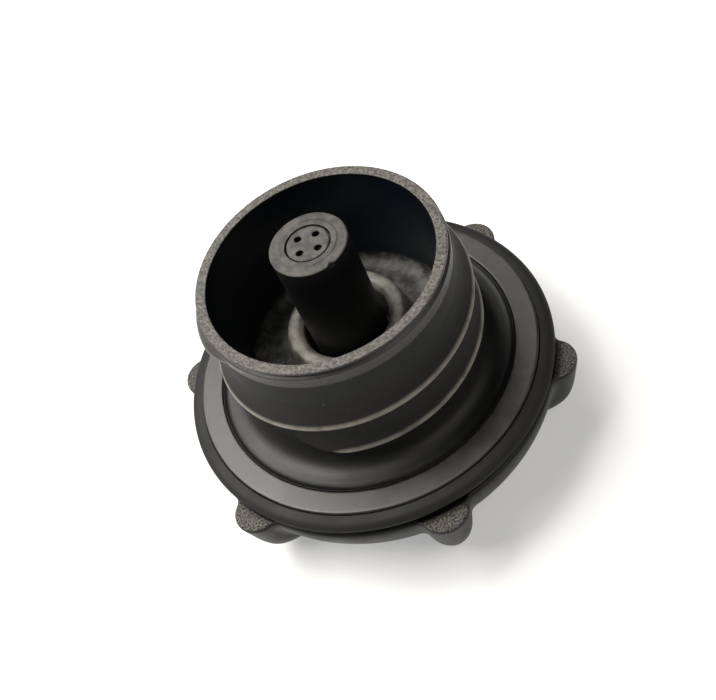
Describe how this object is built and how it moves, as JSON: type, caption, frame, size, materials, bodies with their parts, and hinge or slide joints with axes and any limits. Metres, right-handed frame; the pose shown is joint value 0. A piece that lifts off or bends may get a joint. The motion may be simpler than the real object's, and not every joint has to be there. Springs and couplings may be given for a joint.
{
  "type": "expansion tank pressure cap",
  "caption": "Screw-in pressure cap with a grip knob, a threaded neck round a central valve post, and sprung pressure and vacuum valves inside.",
  "frame": {"origin": "on the cap's axis, at the flat outer face of the grip knob, which is the face the cap stands on", "axes": "+Z along the cap's axis from the knob towards the threaded neck; +X lies midway between two grip lobes"},
  "size_m": [0.073, 0.0804, 0.054],
  "materials": {
    "knob_plastic": "moulded black glass-filled nylon, coarse grain on the upper faces of the grip lobes, smooth sides",
    "insert_plastic": "moulded black glass-filled nylon, satin",
    "post_plastic": "moulded black nylon, satin, greyer on its end face",
    "inner_plastic": "moulded acetal, plain",
    "rubber": "EPDM rubber, worn satin with a dusty bloom",
    "spring_steel": "drawn stainless wire",
    "brass": "turned brass"
  },
  "bodies": {
    "knob": {"grip_knob": "knob_plastic", "drive_ring": "inner_plastic", "thrust_washer": "inner_plastic"},
    "insert": {"threaded_insert": "insert_plastic", "flange_gasket": "rubber", "snap_ring": "spring_steel", "post_collar": "insert_plastic", "valve_housing": "post_plastic", "housing_o_ring": "rubber", "housing_retainer": "inner_plastic", "inlet_disc": "post_plastic", "spring_adjuster": "brass", "pressure_spring": "spring_steel"},
    "piston": {"pressure_piston": "inner_plastic", "piston_seal": "rubber", "seal_retainer": "brass", "vacuum_spring": "spring_steel"},
    "vacuum": {"vacuum_valve": "brass", "vacuum_seal": "rubber", "vacuum_clip": "brass"}
  },
  "joints": [
    {"name": "insert_turn", "type": "hinge", "parent": "knob", "child": "insert", "pos_m": [0, 0, 0.0135], "axis": [0, 0, 1], "range_deg": [-14, 14]},
    {"name": "pressure_lift", "type": "slide", "parent": "insert", "child": "piston", "axis": [0, 0, -1], "range_m": [0, 0.003], "stiffness_N_per_m": 3000, "springref_m": -0.0031, "deforming": ["pressure_spring"]},
    {"name": "vacuum_lift", "type": "slide", "parent": "piston", "child": "vacuum", "axis": [0, 0, 1], "range_m": [0, 0.0008], "stiffness_N_per_m": 150, "springref_m": -0.002, "deforming": ["vacuum_spring"]}
  ]
}
